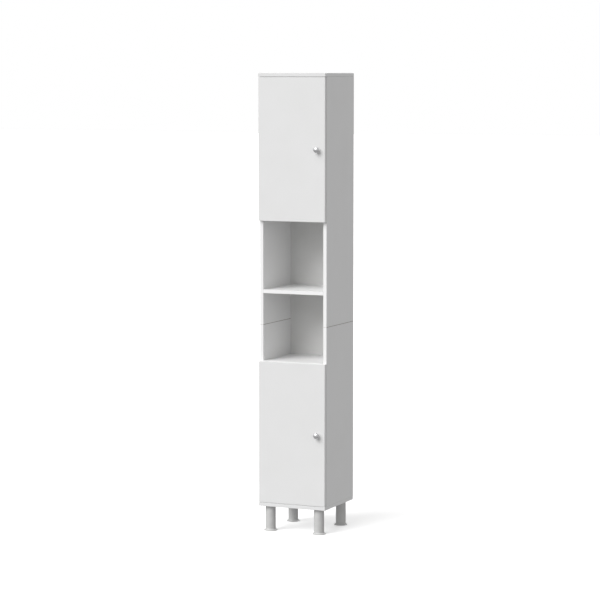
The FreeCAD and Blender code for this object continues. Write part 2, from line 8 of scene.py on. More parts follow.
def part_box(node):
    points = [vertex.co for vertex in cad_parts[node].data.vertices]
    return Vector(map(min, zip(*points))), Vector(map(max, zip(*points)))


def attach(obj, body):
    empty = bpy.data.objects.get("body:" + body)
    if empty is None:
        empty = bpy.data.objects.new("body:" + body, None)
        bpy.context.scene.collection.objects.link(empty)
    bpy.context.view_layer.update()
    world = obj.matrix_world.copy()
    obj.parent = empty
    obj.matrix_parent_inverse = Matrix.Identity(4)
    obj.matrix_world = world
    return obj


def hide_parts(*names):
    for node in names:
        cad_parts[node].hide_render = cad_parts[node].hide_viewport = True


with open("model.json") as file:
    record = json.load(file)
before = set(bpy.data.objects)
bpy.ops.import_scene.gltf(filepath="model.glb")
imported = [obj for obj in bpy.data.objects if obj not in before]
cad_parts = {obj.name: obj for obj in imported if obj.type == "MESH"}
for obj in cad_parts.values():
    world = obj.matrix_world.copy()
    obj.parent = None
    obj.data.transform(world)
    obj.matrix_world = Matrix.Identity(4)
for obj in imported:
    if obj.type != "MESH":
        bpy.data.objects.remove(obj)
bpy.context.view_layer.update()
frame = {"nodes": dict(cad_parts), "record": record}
scene = bpy.context.scene
MM = 0.001
DOORS = ("lower", "upper")
CORNERS = ("front_left", "front_right", "rear_left", "rear_right")
WHITE = (1, 1, 1, 1)

# ---------------------------------------------------------------- camera
CAMERA_PLACE = (4.0396, -9.1059, 1.9000)
CAMERA_YAW = 24.048
CAMERA_PITCH = 5.392
CAMERA_LENS = 144.29
SENSOR_WIDTH = 36
CLIP_END = 200

camera = bpy.data.objects.new("camera", bpy.data.cameras.new("camera"))
camera.data.sensor_width = SENSOR_WIDTH
camera.data.lens = CAMERA_LENS
camera.data.clip_end = CLIP_END
camera.location = CAMERA_PLACE
camera.rotation_euler = (math.radians(90 - CAMERA_PITCH), 0, math.radians(CAMERA_YAW))
scene.collection.objects.link(camera)
scene.camera = camera

# ---------------------------------------------------------------- studio light
KEY_WAY = Vector((-0.46, -0.90, 0.86)).normalized()
SUNS = (
    # name, way that it shines from, strength, angle that it fills in degrees
    ("key_light", KEY_WAY, 1.97, 44),
    ("rear_light", (-0.10, 0.90, 0.40), 0.65, 30),
    ("side_light", (0.94, -0.34, 0.15), 0.28, 40),
)
for name, toward, strength, angle in SUNS:
    light = bpy.data.lights.new(name, "SUN")
    light.energy = strength
    light.angle = math.radians(angle)
    lamp = bpy.data.objects.new(name, light)
    lamp.rotation_euler = Vector(toward).to_track_quat("Z", "Y").to_euler()
    scene.collection.objects.link(lamp)

# The room is dim all round and bright about the key light. The camera sees plain white in its place.
ROOM_DIM, ROOM_BRIGHT = 0.42, 1.87
BRIGHT_FROM, BRIGHT_FULL = 0.75, 1.0

world = bpy.data.worlds.new("studio")
scene.world = world
world.use_nodes = True
sky = world.node_tree
sky.nodes.clear()
room = sky.nodes.new("ShaderNodeBackground")
room.inputs["Color"].default_value = WHITE
aim = sky.nodes.new("ShaderNodeVectorMath")
aim.operation = "DOT_PRODUCT"
aim.inputs[1].default_value = KEY_WAY
glow = sky.nodes.new("ShaderNodeMapRange")
glow.interpolation_type = "SMOOTHSTEP"
for socket, number in zip(list(glow.inputs)[1:], (BRIGHT_FROM, BRIGHT_FULL, ROOM_DIM, ROOM_BRIGHT)):
    socket.default_value = number
sky.links.new(sky.nodes.new("ShaderNodeTexCoord").outputs["Generated"], aim.inputs[0])
sky.links.new(aim.outputs["Value"], glow.inputs[0])
sky.links.new(glow.outputs[0], room.inputs["Strength"])
backdrop = sky.nodes.new("ShaderNodeBackground")
backdrop.inputs["Color"].default_value = WHITE
path = sky.nodes.new("ShaderNodeLightPath")
chosen = sky.nodes.new("ShaderNodeMixShader")
sky_out = sky.nodes.new("ShaderNodeOutputWorld")
sky.links.new(path.outputs["Is Camera Ray"], chosen.inputs[0])
sky.links.new(room.outputs[0], chosen.inputs[1])
sky.links.new(backdrop.outputs[0], chosen.inputs[2])
sky.links.new(chosen.outputs[0], sky_out.inputs["Surface"])
scene.view_settings.view_transform = "Standard"
scene.view_settings.look = "None"


# ---------------------------------------------------------------- making materials
MIX_A, MIX_B, MIX_RESULT = 6, 7, 2      # the Mix node's sockets for colours

# Where a noise starts to show, and where it shows in full.
EVEN, CLOUDY, PATCHY, SPARSE = (0.3, 0.7), (0.35, 0.7), (0.45, 0.7), (0.5, 0.7)
DULLED, VEINED = (0.4, 0.8), (0.42, 0.62)


class Recipe:
    """A material whose look is worked out by nodes around one principled shader."""

    def __init__(self, name, colour, roughness, metallic=0.0):
        self.material = bpy.data.materials.new(name)
        self.material.use_nodes = True
        self.tree = self.material.node_tree
        self.shader = self.tree.nodes["Principled BSDF"]
        self.shader.inputs["Base Color"].default_value = (*colour, 1)
        self.shader.inputs["Roughness"].default_value = roughness
        self.shader.inputs["Metallic"].default_value = metallic
        self.place = self.add("TexCoord").outputs["Object"]
        self.height = None

    def add(self, kind, **settings):
        node = self.tree.nodes.new("ShaderNode" + kind)
        for key, value in settings.items():
            setattr(node, key, value)
        return node

    def feed(self, socket, value):
        """Link a socket to a socket, or give it a number. None leaves it as it is."""
        if isinstance(value, bpy.types.NodeSocket):
            self.tree.links.new(value, socket)
        elif value is not None:
            socket.default_value = value

    def combined(self, kind, operation, *values):
        node = self.add(kind, operation=operation)
        for socket, value in zip(node.inputs, values):
            self.feed(socket, value)
        return node.outputs[0]

    def maths(self, operation, *values):
        return self.combined("Math", operation, *values)

    def vector(self, operation, *values):
        return self.combined("VectorMath", operation, *values)

    def split(self, vector):
        """The three numbers of a vector."""
        node = self.add("SeparateXYZ")
        self.feed(node.inputs[0], vector)
        return node.outputs

    def stretched(self, factors):
        return self.vector("MULTIPLY", self.place, factors)

    def noise(self, scale, detail, place=None):
        node = self.add("TexNoise")
        self.feed(node.inputs["Vector"], place or self.place)
        node.inputs["Scale"].default_value = scale
        node.inputs["Detail"].default_value = detail
        return node.outputs["Fac"]

    def ranged(self, value, start, end, low, high, smooth=False):
        """A number that goes from low to high as the value goes from start to end."""
        node = self.add("MapRange", clamp=True)
        if smooth:
            node.interpolation_type = "SMOOTHSTEP"
        for socket, number in zip(node.inputs, (value, start, end, low, high)):
            self.feed(socket, number)
        return node.outputs[0]

    def tinted(self, colour, factor):
        """The base colour turned towards another one by a factor."""
        base = self.shader.inputs["Base Color"]
        mix = self.add("Mix", data_type="RGBA")
        self.feed(mix.inputs[0], factor)
        if base.is_linked:
            self.feed(mix.inputs[MIX_A], base.links[0].from_socket)
        else:
            mix.inputs[MIX_A].default_value = base.default_value
        mix.inputs[MIX_B].default_value = (*colour, 1)
        self.tree.links.new(mix.outputs[MIX_RESULT], base)

    def raised(self, height, distance, strength):
        """Relief of a real height in metres, on top of what is there."""
        node = self.add("Bump")
        node.inputs["Strength"].default_value = strength
        node.inputs["Distance"].default_value = distance
        self.feed(node.inputs["Height"], height)
        self.feed(node.inputs["Normal"], self.height)
        self.height = node.outputs[0]
        self.tree.links.new(self.height, self.shader.inputs["Normal"])

    def rough(self, value):
        self.feed(self.shader.inputs["Roughness"], value)


# ---------------------------------------------------------------- melamine
# The doors' faces and the top panel's top have a lower white than the other boards: painted shade that
# darkens the faces on which the light falls most.
PAINTED_SHADE_WHITE = 0.71
CARCASS_WHITE = 0.83
PAINTED_SHADE_BOARDS = ("door_lower", "door_upper", "top_panel")
GLOSS, TOP_GLOSS = 0.5, 0.1
MELAMINE_ROUGH = (0.36, 0.5)
PEARL_SHADE = (0.965, 0.964, 0.958)     # this and the next are shares of the board's own white
PEARL_LIGHT = 1.03
WORN_TINT = (0.66, 0.64, 0.59)
JOINT_TINT = (0.42, 0.41, 0.39)
# The seam's dark colour stands partly for the boards' bare core and partly for painted shade in the gap
# between them.
SEAM_TINT = (0.16, 0.13, 0.10)
SHADE_SHARE, LIGHT_SHARE, WORN_SHARE, JOINT_SHARE = 0.5, 0.35, 0.35, 0.45
SEAM_SHARE, SEAM_EDGE_SHARE = 0.85, 0.35

# Noises: scale and detail.
CLOUD, SPECK, WEAR, SMUDGE, GRAIN = (7, 3), (1100, 1), (160, 3), (18, 4), (850, 2)

# Distances in metres. Those inside a board are below zero.
JOINT_INSET = 0.0011                    # from the arris to the joint of its edge band
JOINT_CORE, JOINT_RIM = 0.00005, 0.00022
WEAR_REACH = 0.0012
FACE_START, FACE_FULL = -0.0003, -0.0001
SEAM = 0.863                            # the height at which the side boards meet
SEAM_CORE, SEAM_RIM = 0.0006, 0.0011
SEAM_INNER, SEAM_OUTER = -0.003, -0.001
GRAIN_HEIGHT = 0.00003
JOINT_HEIGHT = -0.00006


def melamine(node):
    """White melamine with a pearl grain, edge bands and handled edges, for one board. Painted shade darkens
    the faces that take the most light, and the side boards' seam is dark, partly bare core and partly painted
    shade.
    """
    white = PAINTED_SHADE_WHITE if node in PAINTED_SHADE_BOARDS else CARCASS_WHITE
    low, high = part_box(node)
    centre, half = (low + high) / 2, (high - low) / 2
    look = Recipe("melamine_" + node, (white, white, white), 0.42)
    look.shader.inputs["Specular IOR Level"].default_value = TOP_GLOSS if node == "top_panel" else GLOSS
    offset = look.vector("ABSOLUTE", look.vector("SUBTRACT", look.place, centre))
    x, y, z = look.split(look.vector("SUBTRACT", offset, half))
    depth, up = look.split(look.place)[1:]
    largest = look.maths("MAXIMUM", look.maths("MAXIMUM", x, y), z)
    least = look.maths("MINIMUM", look.maths("MINIMUM", x, y), z)
    total = look.maths("ADD", look.maths("ADD", x, y), z)
    inset = look.maths("SUBTRACT", look.maths("ADD", largest, least), total)
    cloud = look.noise(*CLOUD)
    speck = look.noise(*SPECK)
    off_joint = look.maths("ABSOLUTE", look.maths("SUBTRACT", inset, JOINT_INSET))
    joint = look.ranged(off_joint, JOINT_CORE, JOINT_RIM, 1, 0, smooth=True)
    worn = look.maths("MULTIPLY", look.ranged(inset, 0.0, WEAR_REACH, 1, 0, smooth=True),
                      look.ranged(look.noise(*WEAR), *PATCHY, 0, 1, smooth=True))
    look.tinted(tuple(white * share for share in PEARL_SHADE), look.ranged(cloud, *CLOUDY, 0, SHADE_SHARE))
    look.tinted((white * PEARL_LIGHT,) * 3, look.ranged(speck, *PATCHY, 0, LIGHT_SHARE))
    # The painted shade is taken off again at the doors' edges and the top panel's ends, which take the
    # carcass white.
    if white == PAINTED_SHADE_WHITE:
        edge = x if node == "top_panel" else look.maths("MAXIMUM", x, z)
        look.tinted((CARCASS_WHITE,) * 3, look.ranged(edge, FACE_START, FACE_FULL, 0, 1))
    # The bottom panel's front edge takes the darker white too: painted shade where the light falls on it
    # most.
    elif node == "bottom_panel":
        front = look.ranged(depth, low.y - FACE_FULL, low.y - FACE_START, 1, 0)
        look.tinted((PAINTED_SHADE_WHITE,) * 3, front)
    look.tinted(WORN_TINT, look.maths("MULTIPLY", worn, WORN_SHARE))
    look.tinted(JOINT_TINT, look.maths("MULTIPLY", joint, JOINT_SHARE))
    # The side boards' seam is darkened: partly their bare core where they meet, partly painted shade of the
    # narrow gap between them; less so near their front and rear faces.
    if node.startswith("side_"):
        off_seam = look.maths("ABSOLUTE", look.maths("SUBTRACT", up, SEAM))
        bare_core_and_gap_shade = look.maths("MULTIPLY",
                          look.ranged(off_seam, SEAM_CORE, SEAM_RIM, SEAM_SHARE, 0, smooth=True),
                          look.ranged(y, SEAM_INNER, SEAM_OUTER, 1, SEAM_EDGE_SHARE))
        look.tinted(SEAM_TINT, bare_core_and_gap_shade)
    look.rough(look.ranged(look.noise(*SMUDGE), *EVEN, *MELAMINE_ROUGH))
    look.raised(look.noise(*GRAIN), GRAIN_HEIGHT, 0.5)
    look.raised(joint, JOINT_HEIGHT, 0.8)
    return look.material


# ---------------------------------------------------------------- other materials
LACQUER, LACQUER_SHADE = (0.72, 0.72, 0.712), (0.66, 0.655, 0.64)
FIBRE_TINT = (0.58, 0.56, 0.52)
LACQUER_ROUGH, FIBRE_ROUGH = 0.5, 0.72
LACQUER_HEIGHT, SCREEN_HEIGHT = 0.00002, 0.00012
SCREEN_SCALE, SCREEN_WANDER = 130, 0.6


def hardboard():
    """A lacquered face to the front, and the screen pattern of pressed fibre to the rear."""
    look = Recipe("lacquered_hardboard", LACQUER, 0.55)
    look.tinted(LACQUER_SHADE, look.ranged(look.noise(11, 4), *CLOUDY, 0, 0.5))
    rearward = look.split(look.add("TexCoord").outputs["Normal"])[1]
    rear = look.ranged(rearward, 0.4, 0.6, 0, 1)
    waves = []
    for axis in ("X", "Z"):
        wave = look.add("TexWave", bands_direction=axis)
        look.feed(wave.inputs["Vector"], look.place)
        wave.inputs["Scale"].default_value = SCREEN_SCALE
        wave.inputs["Distortion"].default_value = SCREEN_WANDER
        waves.append(wave.outputs["Fac"])
    screen = look.maths("MULTIPLY", *waves)
    fibres = look.noise(60, 6, look.stretched((1, 1, 6)))
    look.tinted(FIBRE_TINT, look.maths("MULTIPLY", rear, look.ranged(fibres, *EVEN, 0.15, 0.6)))
    look.raised(look.noise(700, 2), LACQUER_HEIGHT, 0.5)
    look.raised(look.maths("MULTIPLY", rear, screen), SCREEN_HEIGHT, 0.8)
    look.rough(look.ranged(rear, 0, 1, LACQUER_ROUGH, FIBRE_ROUGH))
    return look.material


def metal(name, colour, low, high, stretch=(1, 1, 1), grain=600):
    """Metal with a dull cloud and fine marks, whose roughness goes from low to high."""
    look = Recipe(name, colour, low, 1.0)
    marks = look.noise(grain, 4, look.stretched(stretch))
    look.tinted(tuple(c * 0.9 for c in colour), look.ranged(look.noise(70, 2), *DULLED, 0, 0.4))
    look.rough(look.ranged(marks, *EVEN, low, high))
    return look.material


def plastic(name, colour, roughness, mottle=0.9):
    """Moulded plastic with a faint mottle, pale specks and a fine matt grain."""
    look = Recipe(name, colour, roughness)
    look.tinted(tuple(c * mottle for c in colour), look.ranged(look.noise(45, 4), *CLOUDY, 0, 0.6))
    look.tinted(tuple(min(1, c * 1.12) for c in colour), look.ranged(look.noise(900, 2), *SPARSE, 0, 0.4))
    look.rough(look.ranged(look.noise(30, 4), *EVEN, roughness - 0.06, roughness + 0.08))
    look.raised(look.noise(1200, 2), 0.00004, 0.6)
    return look.material


def beech():
    """Plain beech with a fine darker grain."""
    look = Recipe("plain_beech", (0.56, 0.36, 0.19), 0.6)
    grain = look.noise(220, 5, look.stretched((1, 4, 1)))
    look.tinted((0.40, 0.23, 0.11), look.ranged(grain, *VEINED, 0, 0.7))
    look.raised(grain, 0.00005, 0.5)
    return look.material


HARDBOARD = hardboard()
ZINC = metal("zinc_plating", (0.66, 0.67, 0.69), 0.30, 0.34)
NICKEL = metal("nickel_plating", (0.70, 0.69, 0.66), 0.26, 0.29, (1, 1, 5), 900)
SATIN = metal("satin_chrome", (0.68, 0.68, 0.69), 0.38, 0.44, (1, 6, 1), 700)
GREY = plastic("grey_moulding", (0.55, 0.55, 0.545), 0.42)
WHITE_PLASTIC = plastic("white_moulding", (0.70, 0.70, 0.69), 0.45)
RUBBER = plastic("clear_bumper", (0.72, 0.72, 0.70), 0.3, 0.95)
BEECH = beech()


# ---------------------------------------------------------------- making meshes
MOST_REACH = 0.49                       # of a side, so that two rounds never meet
ON_AXIS = 1e-6


def filleted(corners, steps):
    """A profile with its corners rounded: each corner is across, up and the radius of its round."""
    points = []
    for index, (across, up, radius) in enumerate(corners):
        here = Vector((across, up))
        if not radius or index in (0, len(corners) - 1):
            points.append(here)
            continue
        before = Vector(corners[index - 1][:2]) - here
        after = Vector(corners[index + 1][:2]) - here
        reach = min(radius / math.tan(before.angle(after) / 2), before.length * MOST_REACH,
                    after.length * MOST_REACH)
        start, end = here + before.normalized() * reach, here + after.normalized() * reach
        for step in range(steps + 1):
            t = step / steps
            points.append(start.lerp(here, t).lerp(here.lerp(end, t), t))
    return points


def lathe(mesh, profile, segments, matrix):
    """Turn a profile of radius and height, in millimetres, about Z, and set it in place."""
    turn = [2 * math.pi * step / segments for step in range(segments)]
    rings = []
    for radius, height in profile:
        if radius < ON_AXIS:
            rings.append([mesh.verts.new(matrix @ Vector((0, 0, height * MM)))])
            continue
        rings.append([mesh.verts.new(matrix @ Vector((radius * MM * math.cos(t), radius * MM * math.sin(t),
                                                      height * MM))) for t in turn])
    for lower, upper in zip(rings, rings[1:]):
        for step in range(segments):
            after = (step + 1) % segments
            face = [lower[step % len(lower)], lower[after % len(lower)],
                    upper[after % len(upper)], upper[step % len(upper)]]
            face = [v for number, v in enumerate(face) if v not in face[:number]]
            if len(face) > 2:
                mesh.faces.new(face)
    return rings


def slab(mesh, outline, low, high, matrix, ease=0.0):
    """A flat piece of a given outline between two heights, with its rims eased."""
    middle = sum((Vector(p) for p in outline), Vector((0, 0))) / len(outline)
    levels = [(low, ease), (low + ease, 0), (high - ease, 0), (high, ease)] if ease else [(low, 0), (high, 0)]
    rings = []
    for level, pull in levels:
        ring = []
        for point in outline:
            away = Vector(point) - middle
            spot = Vector(point) - away.normalized() * pull
            ring.append(mesh.verts.new(matrix @ Vector((spot.x * MM, spot.y * MM, level * MM))))
        rings.append(ring)
    count = len(outline)
    for lower, upper in zip(rings, rings[1:]):
        for step in range(count):
            after = (step + 1) % count
            mesh.faces.new((lower[step], lower[after], upper[after], upper[step]))
    mesh.faces.new(list(reversed(rings[0])))
    mesh.faces.new(rings[-1])


HEAD_SEGMENTS = 24
HEAD_FLAT, CROSS_REACH, CROSS_HALF = 0.72, 0.55, 0.17      # shares of the head's radius
RIM_HEIGHT, SOLE_HEIGHT = 0.55, 0.2                         # shares of the head's height
SOLE_SIZE = 0.7                                             # share of the cross at its mouth
TIP_RADIUS, TIP_START = 0.5, 0.85                           # shares of the shank's radius and length


def recessed_head(mesh, head_radius, head_height, shank_radius, shank_length, matrix):
    """A pan-headed screw with a cross recess. Its head stands up along Z from zero."""
    profile = filleted([(0, -shank_length, 0), (shank_radius * TIP_RADIUS, -shank_length, 0),
                        (shank_radius, -shank_length * TIP_START, 0), (shank_radius, 0, 0),
                        (head_radius, 0, 0.15), (head_radius, head_height * RIM_HEIGHT, 0.5),
                        (head_radius * HEAD_FLAT, head_height, 0)], 3)
    top = lathe(mesh, profile, HEAD_SEGMENTS, matrix)[-1]
    arm, wide = head_radius * CROSS_REACH, head_radius * CROSS_HALF
    cross = []
    for quarter in range(4):
        turn = Matrix.Rotation(math.pi / 2 * quarter, 2)
        cross += [turn @ Vector((arm, -wide)), turn @ Vector((arm, wide)), turn @ Vector((wide, wide))]
    mouth = [mesh.verts.new(matrix @ Vector((p.x * MM, p.y * MM, head_height * MM))) for p in cross]
    level = head_height * SOLE_HEIGHT
    sole = [mesh.verts.new(matrix @ Vector((p.x * SOLE_SIZE * MM, p.y * SOLE_SIZE * MM, level * MM)))
            for p in cross]
    count = len(cross)
    mouth_edges = [mesh.edges.new((mouth[i], mouth[(i + 1) % count])) for i in range(count)]
    top_edges = [mesh.edges.get((top[i], top[(i + 1) % HEAD_SEGMENTS])) for i in range(HEAD_SEGMENTS)]
    bmesh.ops.bridge_loops(mesh, edges=mouth_edges + top_edges)
    for step in range(count):
        after = (step + 1) % count
        mesh.faces.new((mouth[step], mouth[after], sole[after], sole[step]))
    mesh.faces.new(sole)


LARGE_FACE = 150e-6                     # square metres


def finished(mesh, name, body, material, node, angle=35):
    """Turn a mesh in the making into the piece that stands for a node. Its large faces stay flat."""
    bmesh.ops.recalc_face_normals(mesh, faces=mesh.faces)
    data = bpy.data.meshes.new(name)
    mesh.to_mesh(data)
    mesh.free()
    data.set_sharp_from_angle(angle=math.radians(angle))
    for face in data.polygons:
        face.use_smooth = face.area < LARGE_FACE
    data.materials.append(material)
    piece = bpy.data.objects.new(name, data)
    scene.collection.objects.link(piece)
    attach(piece, body)
    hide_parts(node)


# ---------------------------------------------------------------- reading the frame
PER_METRE = 1e6                         # corners that round to one micrometre are one corner


def solids_of(node):
    """The lowest and highest corners of each separate solid in a node."""
    data = frame["nodes"][node].data
    spots = {}
    owner = []

    def root(item):
        while owner[item] != item:
            item = owner[item]
        return item

    index = []
    for vertex in data.vertices:
        key = tuple(round(c * PER_METRE) for c in vertex.co)
        if key not in spots:
            spots[key] = len(owner)
            owner.append(len(owner))
        index.append(spots[key])
    for face in data.polygons:
        first = root(index[face.vertices[0]])
        for vertex in face.vertices[1:]:
            owner[root(index[vertex])] = first
    boxes = {}
    for vertex in data.vertices:
        low, high = boxes.setdefault(root(index[vertex.index]), (vertex.co.copy(), vertex.co.copy()))
        for axis in range(3):
            low[axis] = min(low[axis], vertex.co[axis])
            high[axis] = max(high[axis], vertex.co[axis])
    return sorted(boxes.values(), key=lambda pair: tuple(pair[0]))


def middle_of(pair):
    """The middle of a box given by its lowest and highest corners."""
    return (pair[0] + pair[1]) / 2


def facing(direction, place):
    """A matrix that sets +Z along a direction at a place."""
    return Matrix.Translation(place) @ Vector(direction).to_track_quat("Z", "Y").to_matrix().to_4x4()


def body_of(node):
    """The body that carries a node."""
    for name, members in frame["record"]["behaviour"]["bodies"].items():
        if node in members:
            return name
    raise ValueError(node)


# ---------------------------------------------------------------- boards and back panels
BOARDS = ("top_panel", "bottom_panel", "side_left_lower", "side_left_upper", "side_right_lower",
          "side_right_upper", "open_bay_floor", "open_shelf", "upper_cupboard_floor", "lower_inner_shelf",
          "upper_inner_shelf", "door_lower", "door_upper")
BOARD_ROUND, SEAM_ROUND, STRIP_ROUND = 0.3, 1.0, 0.25      # millimetres
BOARD_SHORTEST, STRIP_SHORTEST = 0.008, 0.0009             # metres: shorter edges stay sharp
SEAM_SHORTEST, SEAM_NEAR = 0.1, 1e-4
SHARP = math.radians(40)
MERGED, FLAT_WITHIN = 1e-6, math.radians(1)


def rounded_over(mesh, width, wanted):
    """Round the sharp edges that are wanted over by a width in millimetres."""
    sharp = [e for e in mesh.edges if len(e.link_faces) == 2 and e.calc_face_angle(0) > SHARP and wanted(e)]
    bmesh.ops.bevel(mesh, geom=sharp, offset=width * MM, segments=3, profile=0.5, affect="EDGES",
                    clamp_overlap=True)


def softened(node, material, width, shortest, suffix="_eased"):
    """The node's own shape with its edges rounded over, more so where two side boards meet."""
    mesh = bmesh.new()
    mesh.from_mesh(frame["nodes"][node].data)
    bmesh.ops.remove_doubles(mesh, verts=mesh.verts, dist=MERGED)
    bmesh.ops.dissolve_limit(mesh, angle_limit=FLAT_WITHIN, verts=mesh.verts, edges=mesh.edges)
    if node.startswith("side_"):
        rounded_over(mesh, SEAM_ROUND, lambda e: e.calc_length() > SEAM_SHORTEST
                     and all(abs(v.co.z - SEAM) < SEAM_NEAR for v in e.verts))
    rounded_over(mesh, width, lambda e: e.calc_length() > shortest)
    finished(mesh, node + suffix, body_of(node), material, node, 30)


for board in BOARDS:
    softened(board, melamine(board), BOARD_ROUND, BOARD_SHORTEST, "_melamine")
for node in ("back_panel_lower", "back_panel_upper"):
    softened(node, HARDBOARD, BOARD_ROUND, BOARD_SHORTEST, "_lacquered")
softened("back_joint_strip", WHITE_PLASTIC, STRIP_ROUND, STRIP_SHORTEST)

# ---------------------------------------------------------------- knobs
# From here on sizes are in millimetres, apart from those that say metres.
KNOB_BASE, KNOB_NECK, KNOB_HEAD = 6.5, 4.5, 12.0
KNOB_REACH, KNOB_CROWN = 22.0, 7.0
CROWN_STEPS = 14
knob_profile = filleted([(0, 0, 0), (KNOB_BASE, 0, 0), (KNOB_BASE, 1.2, 0.6), (KNOB_NECK, 3.5, 2.5),
                         (KNOB_NECK, 7, 3.5), (KNOB_HEAD, 12, 1.5),
                         (KNOB_HEAD, KNOB_REACH - KNOB_CROWN, 0)], 6)
for step in range(1, CROWN_STEPS + 1):
    turn = math.pi / 2 * step / CROWN_STEPS
    knob_profile.append(Vector((KNOB_HEAD * math.cos(turn),
                                KNOB_REACH - KNOB_CROWN + KNOB_CROWN * math.sin(turn))))
for door in DOORS:
    low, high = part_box("knob_" + door)
    seat = Vector(((low.x + high.x) / 2, high.y, (low.z + high.z) / 2))
    mesh = bmesh.new()
    lathe(mesh, knob_profile, 64, facing((0, -1, 0), seat))
    finished(mesh, "turned_knob_" + door, door + "_door", SATIN, "knob_" + door, 50)

# ---------------------------------------------------------------- legs and feet
LEG_RADIUS, LEG_LOW, LEG_TOP = 21, 9, 105
BORE_RADIUS, BORE_TOP = 5.2, 70
GROOVE_RADIUS = 20.7
LEG_PROFILE = filleted([(0, BORE_TOP, 0), (BORE_RADIUS, BORE_TOP, 0), (BORE_RADIUS, 9.6, 0),
                        (5.8, LEG_LOW, 0), (LEG_RADIUS, LEG_LOW, 0.7), (LEG_RADIUS, 12.5, 0.2),
                        (GROOVE_RADIUS, 12.8, 0), (GROOVE_RADIUS, 13.4, 0), (LEG_RADIUS, 13.7, 0.2),
                        (LEG_RADIUS, LEG_TOP, 0.8), (0, LEG_TOP, 0)], 4)
FOOT_RADIUS = 28
THREAD_TURNS, THREAD_PITCH, THREAD_LOW = 24, 1.5, 10.5
THREAD_CREST, THREAD_ROOT = 4.95, 4.3
STEM_RADIUS, STEM_TOP = 4.6, 48
thread = []
for turn in range(THREAD_TURNS):
    thread += [(THREAD_CREST, THREAD_LOW + turn * THREAD_PITCH, 0),
               (THREAD_ROOT, THREAD_LOW + THREAD_PITCH / 2 + turn * THREAD_PITCH, 0)]
FOOT_PROFILE = filleted([(0, 0.4, 0), (24, 0.4, 0), (25, 0, 0.3), (FOOT_RADIUS, 0, 0.8),
                         (FOOT_RADIUS, 3, 0.9), (23.2, 5.2, 6), (LEG_RADIUS, LEG_LOW, 0.4),
                         (6, LEG_LOW, 0), (STEM_RADIUS, 9.6, 0)] + thread +
                        [(STEM_RADIUS, 47, 0), (3.8, STEM_TOP, 0), (0, STEM_TOP, 0)], 5)
for corner in CORNERS:
    low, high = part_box("leg_" + corner)
    spot = Matrix.Translation(((low.x + high.x) / 2, (low.y + high.y) / 2, 0))
    mesh = bmesh.new()
    lathe(mesh, LEG_PROFILE, 64, spot)
    finished(mesh, "leg_tube_" + corner, "root", GREY, "leg_" + corner)
    mesh = bmesh.new()
    lathe(mesh, FOOT_PROFILE, 64, spot)
    finished(mesh, "foot_skirt_" + corner, "foot_" + corner, GREY, "foot_" + corner, 40)

# ---------------------------------------------------------------- screws, pins and pegs
SCREWS = (
    # node, body, way the head faces, head radius and height, shank radius, name
    ("hinge_plate_screws", "root", (1, 0, 0), 3.5, 1.5, 1.9, "plate_screw_heads"),
    ("hinge_arm_screws", "root", (1, 0, 0), 3.0, 1.5, 1.4, "arm_screw_heads"),
    ("bracket_screws", "root", (0, 0, -1), 4.0, 2.0, 1.9, "bracket_screw_heads"),
    ("hinge_cup_screws_lower", "lower_door", (0, 1, 0), 3.0, 0.8, 1.6, "cup_screw_heads_lower"),
    ("hinge_cup_screws_upper", "upper_door", (0, 1, 0), 3.0, 0.8, 1.6, "cup_screw_heads_upper"),
    ("knob_screw_lower", "lower_door", (0, 1, 0), 4.5, 2.0, 1.9, "knob_screw_head_lower"),
    ("knob_screw_upper", "upper_door", (0, 1, 0), 4.5, 2.0, 1.9, "knob_screw_head_upper"),
)
for node, body, way, head_radius, head_height, shank_radius, name in SCREWS:
    mesh = bmesh.new()
    for pair in solids_of(node):
        axis = Vector(way)
        half = abs((pair[1] - pair[0]).dot(axis)) / 2
        seat = middle_of(pair) + axis * (half - head_height * MM)
        recessed_head(mesh, head_radius, head_height, shank_radius, half * 2 / MM - head_height,
                      facing(way, seat))
    finished(mesh, name, body, ZINC, node)

PIN_RADIUS, PIN_ROUND = 1.45, 0.4
PINS = [("hinge_arm_pins", "root")] + [("hinge_cup_pins_" + door, door + "_door") for door in DOORS]
for node, body in PINS:
    mesh = bmesh.new()
    for pair in solids_of(node):
        reach = (pair[1].z - pair[0].z) / 2 / MM
        lathe(mesh, filleted([(0, -reach, 0), (PIN_RADIUS, -reach, PIN_ROUND),
                              (PIN_RADIUS, reach, PIN_ROUND), (0, reach, 0)], 3),
              24, Matrix.Translation(middle_of(pair)))
    finished(mesh, node + "_round", body, NICKEL, node)

PEG_RADIUS, PEG_LENGTH = 2.45, 18
COLLAR_RADIUS, COLLAR_LOW, COLLAR_TOP = 4, 9.1, 9.8
PEG_PROFILE = filleted([(0, 0, 0), (2.2, 0, 0), (PEG_RADIUS, 0.6, 0), (PEG_RADIUS, COLLAR_LOW, 0),
                        (COLLAR_RADIUS, COLLAR_LOW, 0.2), (COLLAR_RADIUS, COLLAR_TOP, 0.2),
                        (PEG_RADIUS, COLLAR_TOP, 0), (PEG_RADIUS, PEG_LENGTH, 0.6), (0, PEG_LENGTH, 0)], 4)
mesh = bmesh.new()
for pair in solids_of("shelf_pegs"):
    centre = middle_of(pair)
    inward = -1 if centre.x > 0 else 1
    wall = pair[0].x if inward > 0 else pair[1].x
    lathe(mesh, PEG_PROFILE, 24, facing((inward, 0, 0), Vector((wall, centre.y, centre.z))))
finished(mesh, "shelf_peg_pins", "root", ZINC, "shelf_pegs")

